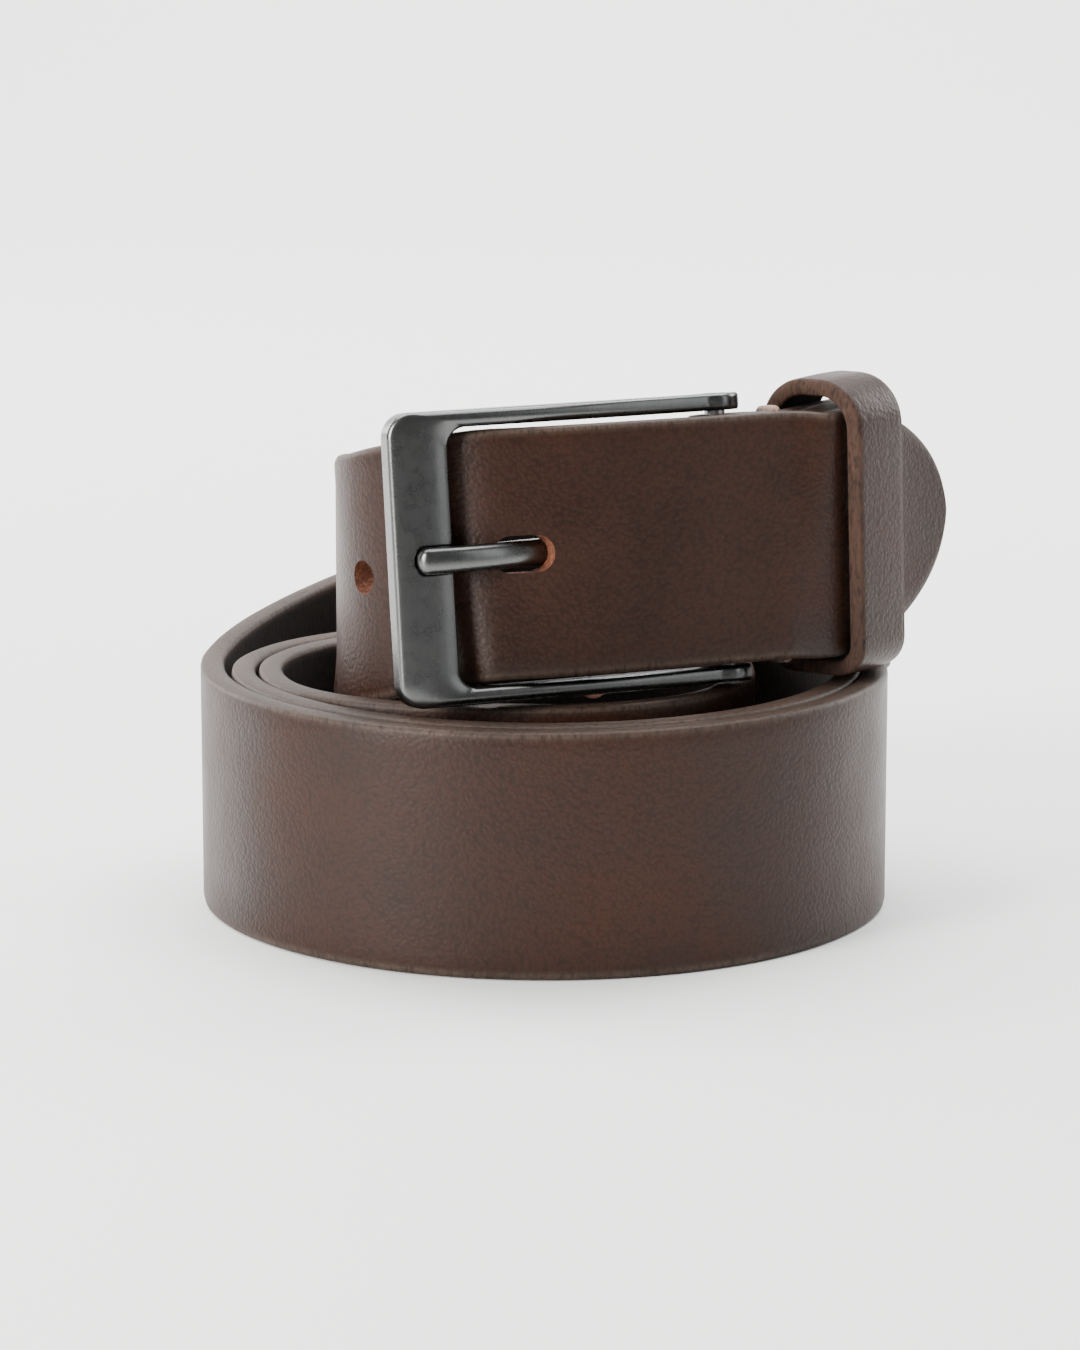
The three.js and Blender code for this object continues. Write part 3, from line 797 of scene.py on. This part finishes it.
def framePoint(u, v):
    folded = 1 - abs(2 * u - 1)
    outer, inner = frameOutline(folded)
    if u > 0.5:
        outer, inner = Vector((outer.x, -outer.y)), Vector((inner.x, -inner.y))
    # v goes round: front face, inner side, back face, outer side.
    corner = int(v * 4) % 4
    part = v * 4 - int(v * 4)
    wide = (inner - outer).length
    edge = min(buckle["softEdge"], wide / 2.6)
    front, back = frameDepth(outer.x)
    deep = back - front
    spots = ((0, 0), (1, 0), (1, 1), (0, 1))
    a, b = spots[corner], spots[(corner + 1) % 4]
    rounding = buckle["edgeShare"]
    bent = min(1.0, max(0.0, (part - rounding) / (1 - 2 * rounding)))
    across = (a[0] + (b[0] - a[0]) * bent, a[1] + (b[1] - a[1]) * bent)
    x = edge + (wide - 2 * edge) * across[0]
    y = edge + (deep - 2 * edge) * across[1]
    turned = 270 + 90 * corner
    if part < rounding:
        turned -= 45 * (1 - part / rounding)
    elif part > 1 - rounding:
        turned += 45 * (part - 1 + rounding) / rounding
    x += edge * cosine(turned)
    y += edge * sine(turned)
    spot = outer.lerp(inner, x / wide)
    front, back = frameDepth(min(spot.x, lugSide))
    fall = 0.75 * abs(2 * x / wide - 1) ** 2.4 * min(1.0, (wide - 2) / 4) - 0.15
    depth = front + (back - front) * y / deep + fall * (1 - y / deep)
    return buckleSeat @ Vector((spot.x, depth, spot.y))


buckleFrame = laidTube("frame_laid", 260, 64, framePoint)
print("frame laid")


# The prong's middle line, in the buckle seat's x and y.
notchFace = frameFace(frameEnd + buckle["frontBar"] / 2) + buckle["notch"]
prongRest = notchFace - belt["restGap"] - buckle["prongThickness"] / 2
prongTip = frameEnd + buckle["prongOverhang"]
prongPoints = [
    Vector((x, y, 0))
    for x, y in (
        (0, 0), (-10, 0), (-20, -0.2), (-27, -1.1), (-33, -2.8), (-39, prongRest + 0.5),
        (-45, prongRest - 0.25), (prongTip + buckle["prongThickness"] / 2, prongRest),
    )
]


def prongTube(name, extra, wideExtra, along=120, around=28):
    reach = buckle["prongThickness"] / 2 + extra
    span = len(prongPoints) - 1
    tipShare = 0.1

    def place(u, v):
        bodyPlace = min(1.0, u / (1 - tipShare))
        here = splineAt(prongPoints, bodyPlace * span)
        ahead = splineAt(prongPoints, min(span, bodyPlace * span + 0.01))
        behind = splineAt(prongPoints, max(0, bodyPlace * span - 0.01))
        way = (ahead - behind).normalized()
        side = Vector((-way.y, way.x, 0))
        size = 1.0
        if u > 1 - tipShare:
            turned = 89.4 * (u - 1 + tipShare) / tipShare
            here = here + way * reach * sine(turned)
            size = cosine(turned)
        angle = 2 * math.pi * v
        across = math.copysign(abs(math.cos(angle)) ** 0.75, math.cos(angle)) * reach * size
        upward = math.copysign(abs(math.sin(angle)) ** 0.75, math.sin(angle))
        upward *= (buckle["prongWidth"] / 2 + wideExtra) * size
        return buckleSeat @ (here + side * across + Vector((0, 0, upward)))

    return laidTube(name, along, around, place)


notchRoom = belt["restGap"] * 0.75
cutWith(buckleFrame, prongTube("notch_cut", notchRoom, notchRoom))


# A smooth ring or rod round the heel bar's line.
def turnedRing(name, inside, outside, half, edge, segments=64):
    def place(u, v):
        angle = 2 * math.pi * u
        corners = ((outside, -half), (outside, half), (inside, half), (inside, -half))
        corner = int(v * 4) % 4
        part = v * 4 - int(v * 4)
        a, b = corners[corner], corners[(corner + 1) % 4]
        r = a[0] + (b[0] - a[0]) * part
        z = a[1] + (b[1] - a[1]) * part
        outward = abs(z) > half - edge and abs(r - outside) < edge
        if outward:
            dr, dz = r - (outside - edge), abs(z) - (half - edge)
            size = edge / max(edge, math.hypot(dr, dz))
            r = outside - edge + dr * size
            z = math.copysign(half - edge + dz * size, z)
        return buckleSeat @ Vector((r * math.cos(angle), r * math.sin(angle), z))

    return laidTube(name, segments, 48, place, capped=False, looped=True)


# A round cutter on the heel bar's line.
def boreCutter(radius, half):
    deselectAll()
    bpy.ops.mesh.primitive_cylinder_add(vertices=64, radius=radius, depth=2 * half)
    cutter = bpy.context.object
    for vertex in cutter.data.vertices:
        vertex.co = inRow(buckleSeat @ vertex.co)
    useMaterial(cutter, gunmetalPlate)
    return cutter


boreRadius = belt["heelBarRadius"] + buckle["boreRoom"]
cutWith(buckleFrame, boreCutter(boreRadius, 2 * frameHalf))
prong = prongTube("prong_laid", 0, 0)
cutWith(prong, boreCutter(boreRadius + buckle["rootInset"], 5))
eye = turnedRing("prong_eye", boreRadius, buckle["eye"], buckle["prongWidth"] / 2, 0.5)
prong = joinInto(prong, [eye])
for piece, name, body, node in (
    (buckleFrame, "gunmetal_frame", "frame", "buckle_frame"),
    (prong, "gunmetal_prong", "prong", "prong"),
):
    useMaterial(piece, gunmetalPlate)
    piece.name = name
    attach(piece, body)
    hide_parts(node)
print("buckle finished")

keeper = {
    "width": 12.0,
    "corner": 5.2,  # outside, under the strap
    "crown": 7.6,  # outside, over the strap
    "headroom": 2.2,
    "seam": 0.5,
    "edgeRound": 0.7,
    "bow": 0.12,
    "stapleReach": 4,  # half the distance between the staple's holes
    "stapleHole": 0.75,
    "steps": 220,
}


# The keeper's middle line in its seat's y and z, once round from the seam behind.
def keeperOutline():
    out = belt["keeperThickness"] / 2
    front = -layersFront - belt["keeperSlack"] - out
    back = layersBack + belt["keeperSlack"] + out
    foot = -belt["width"] / 2 - belt["keeperFootroom"] - out
    head = belt["width"] / 2 + keeper["headroom"] + out
    low = keeper["corner"] - out
    high = keeper["crown"] - out
    points = [Vector((back, keeper["seam"] / 2))]

    def arc(y, z, radius, start, end):
        for step in range(13):
            turned = start + (end - start) * step / 12
            points.append(Vector((y + radius * cosine(turned), z + radius * sine(turned))))

    arc(back - high, head - high, high, 0, 90)
    arc(front + high, head - high, high, 90, 180)
    arc(front + low, foot + low, low, 180, 270)
    arc(back - low, foot + low, low, 270, 360)
    points.append(Vector((back, -keeper["seam"] / 2)))
    return points


keeperLine = keeperOutline()
keeperRuns = [0.0]
for here, there in zip(keeperLine, keeperLine[1:]):
    keeperRuns.append(keeperRuns[-1] + (there - here).length)


def keeperAt(share):
    distance = share * keeperRuns[-1]
    index = max(i for i in range(len(keeperRuns) - 1) if keeperRuns[i] <= distance + 1e-9)
    part = (distance - keeperRuns[index]) / (keeperRuns[index + 1] - keeperRuns[index])
    return keeperLine[index].lerp(keeperLine[index + 1], part)


def keeperPoint(u, v):
    at = keeperAt(u)
    ahead, behind = keeperAt(min(1.0, u + 0.006)), keeperAt(max(0.0, u - 0.006))
    way = (ahead - behind).normalized()
    inward = Vector((-way.y, way.x))
    # The band's grain side faces out, and it is a little thinner at its two rims.
    x, wide = bandSection(v, belt["keeperThickness"] / 2, keeper["width"] / 2, keeper["edgeRound"])
    bowed = keeper["bow"] * (1 - (2 * wide / keeper["width"]) ** 2)
    depth = x - bowed if x < 0 else x
    spot = at + inward * depth
    return keeperSeat @ Vector((wide, spot.x, spot.y))


keeperLoop = laidTube("keeper_loop", keeper["steps"], strapValues["around"], keeperPoint)
keeperBack = keeperSeat @ Matrix.Translation((0, layersBack + belt["keeperSlack"], 0))
for side in (-1, 1):
    hole = keeperBack @ Matrix.Translation((0, 0, keeper["stapleReach"] * side))
    ends = (-keeper["stapleHole"], keeper["stapleHole"])
    cutWith(keeperLoop, cutterIn(hole, ends, keeper["stapleHole"], 1.2, 6))
useMaterial(keeperLoop, keeperLeather)
keeperLoop.name = "leather_keeper"
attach(keeperLoop, "keeper")
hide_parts("keeper")
print("keeper finished")

thread = {
    "thickness": 0.8,
    "pitch": 4.0,
    "inset": 3.0,
    "proud": 0.3,
    "edgeGap": 0.05,
    "dip": 0.7,
    "endDip": 0.5,
    "doubled": 0.35,  # how far the two threads over an edge stand either side of the row
}


# One stitch from (y0, z0) to (y1, z1), its ends dipping into the leather by dip.
def stitch(name, seat, x, start, end, dip):
    middle = (start + end) / 2
    way = end - start

    def place(u, v):
        angle = 2 * math.pi * v
        along = 2 * u - 1
        fall = dip * abs(along) ** 5
        point = middle + way * along / 2 * 1.02
        size = thread["thickness"] / 2 * (1 - 0.35 * abs(along) ** 6)
        side = Vector((-way.y, way.x)).normalized()
        if dip < 0:
            side = -side
        off = size * math.sin(angle) - abs(fall)
        return seat @ Vector((x + size * math.cos(angle), point.x + side.x * off, point.y + side.y * off))

    return laidTube(name, 16, 12, place)


def threadRow(name, seat, x, offset, node):
    half = thread["thickness"] / 2
    front = offset - belt["thickness"] / 2 + half - thread["proud"]
    back = offset + layersBack - half + thread["proud"]
    over = belt["width"] / 2 + half + thread["edgeGap"]
    count = int((belt["width"] / 2 - thread["inset"]) // thread["pitch"])
    first = -count * thread["pitch"]
    stitches = []
    for i in range(2 * count):
        y = back if i % 2 == 0 else front
        low, high = first + i * thread["pitch"], first + (i + 1) * thread["pitch"]
        a, b = Vector((y, low)), Vector((y, high))
        pair = (b, a) if y == back else (a, b)
        stitches.append(stitch(f"{name}_{i}", seat, x, *pair, thread["dip"]))
    for side in (-1, 1):
        for turn in (-thread["doubled"], thread["doubled"]):
            a, b = Vector((front, side * over)), Vector((back, side * over))
            pair = (b, a) if side < 0 else (a, b)
            stitches.append(stitch(f"{name}_over{side}{turn}", seat, x + turn, *pair, thread["endDip"]))
        for y in (front, back):
            a, b = Vector((y, side * over)), Vector((y, side * count * thread["pitch"]))
            pair = (a, b) if (y == front) == (side < 0) else (b, a)
            stitches.append(stitch(f"{name}_end{side}{y:.0f}", seat, x, *pair, thread["endDip"]))
    row = joinInto(stitches[0], stitches[1:])
    row.name = name
    useMaterial(row, waxedThread)
    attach(row, "strap")
    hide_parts(node)


threadRow("thread_buckle", buckleSeat, coil["rowNear"], mainY, "stitch_row_buckle")
threadRow("thread_keeper", keeperSeat, coil["rowFar"], 0, "stitch_row_keeper")
for node in ("heel_bar", "keeper_staple"):
    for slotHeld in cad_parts[node].material_slots:
        slotHeld.material = barSteel
print("threads finished")

# Each softbox is a place, an aim, a width, a height, watts and a colour.
studio = {
    "paper": (0.86, 0.86, 0.85),
    "paperLight": (0.87, 0.87, 0.86),
    "elevation": 12.0,
    "distance": 0.8,
    "aim": (-0.0008, -0.0004, 0.0353),  # from the coil's centre on the floor
    "lens": 134.8,
    "airColour": (0.86, 0.87, 0.86, 1),
    "airStrength": 0.3,
    "softboxes": {
        "key_left": ((-0.70, -0.62, 0.42), (0, 0, 0.04), 0.34, 0.6, 20, (1.0, 0.985, 0.96)),
        "fill_right": ((0.85, -0.45, 0.45), (0, 0, 0.04), 0.4, 0.7, 2.0, (0.97, 0.985, 1.0)),
        "rear_left": ((-0.7, 0.55, 0.35), (0, 0, 0.04), 0.4, 0.5, 8, (1, 1, 1)),
        "rear_right": ((0.7, 0.5, 0.35), (0, 0, 0.04), 0.4, 0.5, 6, (1, 1, 1)),
        "overhead": ((0.0, 0.35, 1.3), (0, 0.1, 0), 1.6, 1.2, 40, (1, 1, 1)),
        "backdrop_light": ((0.0, 1.0, 1.6), (0, 2.0, 0.3), 2.0, 0.8, 70, (1, 1, 1)),
    },
}

deselectAll()
bpy.ops.mesh.primitive_plane_add(size=8)
floor = bpy.context.object
floor.name = "studio_floor"
bpy.ops.object.mode_set(mode="EDIT")
bpy.ops.mesh.subdivide(number_cuts=79)
bpy.ops.object.mode_set(mode="OBJECT")
for vertex in floor.data.vertices:
    vertex.co.z = 0.55 * max(0.0, vertex.co.y - 0.9) ** 2
bpy.ops.object.shade_smooth()
paper, nodes, links, shader = newMaterial("studioPaper")
paperTone = noise(nodes, links, nodes.new("ShaderNodeTexCoord").outputs["Object"], 3, 2)
paperColour = ramp(nodes, links, paperTone, [(0.3, studio["paper"]), (0.7, studio["paperLight"])])
links.new(paperColour, shader.inputs["Base Color"])
shader.inputs["Roughness"].default_value = 0.6
useMaterial(floor, paper)


def softbox(name, location, aim, width, height, watts, colour):
    data = bpy.data.lights.new(name, "AREA")
    data.shape = "RECTANGLE"
    data.size, data.size_y = width, height
    data.energy = watts
    data.color = colour
    light = bpy.data.objects.new(name, data)
    bpy.context.scene.collection.objects.link(light)
    light.location = location
    light.rotation_euler = (Vector(aim) - Vector(location)).to_track_quat("-Z", "Y").to_euler()


for name, values in studio["softboxes"].items():
    softbox(name, *values)

world = bpy.data.worlds.new("studioAir")
bpy.context.scene.world = world
world.use_nodes = True
world.node_tree.nodes["Background"].inputs["Color"].default_value = studio["airColour"]
world.node_tree.nodes["Background"].inputs["Strength"].default_value = studio["airStrength"]

camera = bpy.data.objects.new("camera", bpy.data.cameras.new("camera"))
bpy.context.scene.collection.objects.link(camera)
aim = coilCentre + Vector(studio["aim"])
away = Vector((0, -cosine(studio["elevation"]), sine(studio["elevation"])))
camera.location = aim + away * studio["distance"]
camera.rotation_euler = away.to_track_quat("Z", "Y").to_euler()
camera.data.lens = studio["lens"]
bpy.context.scene.camera = camera
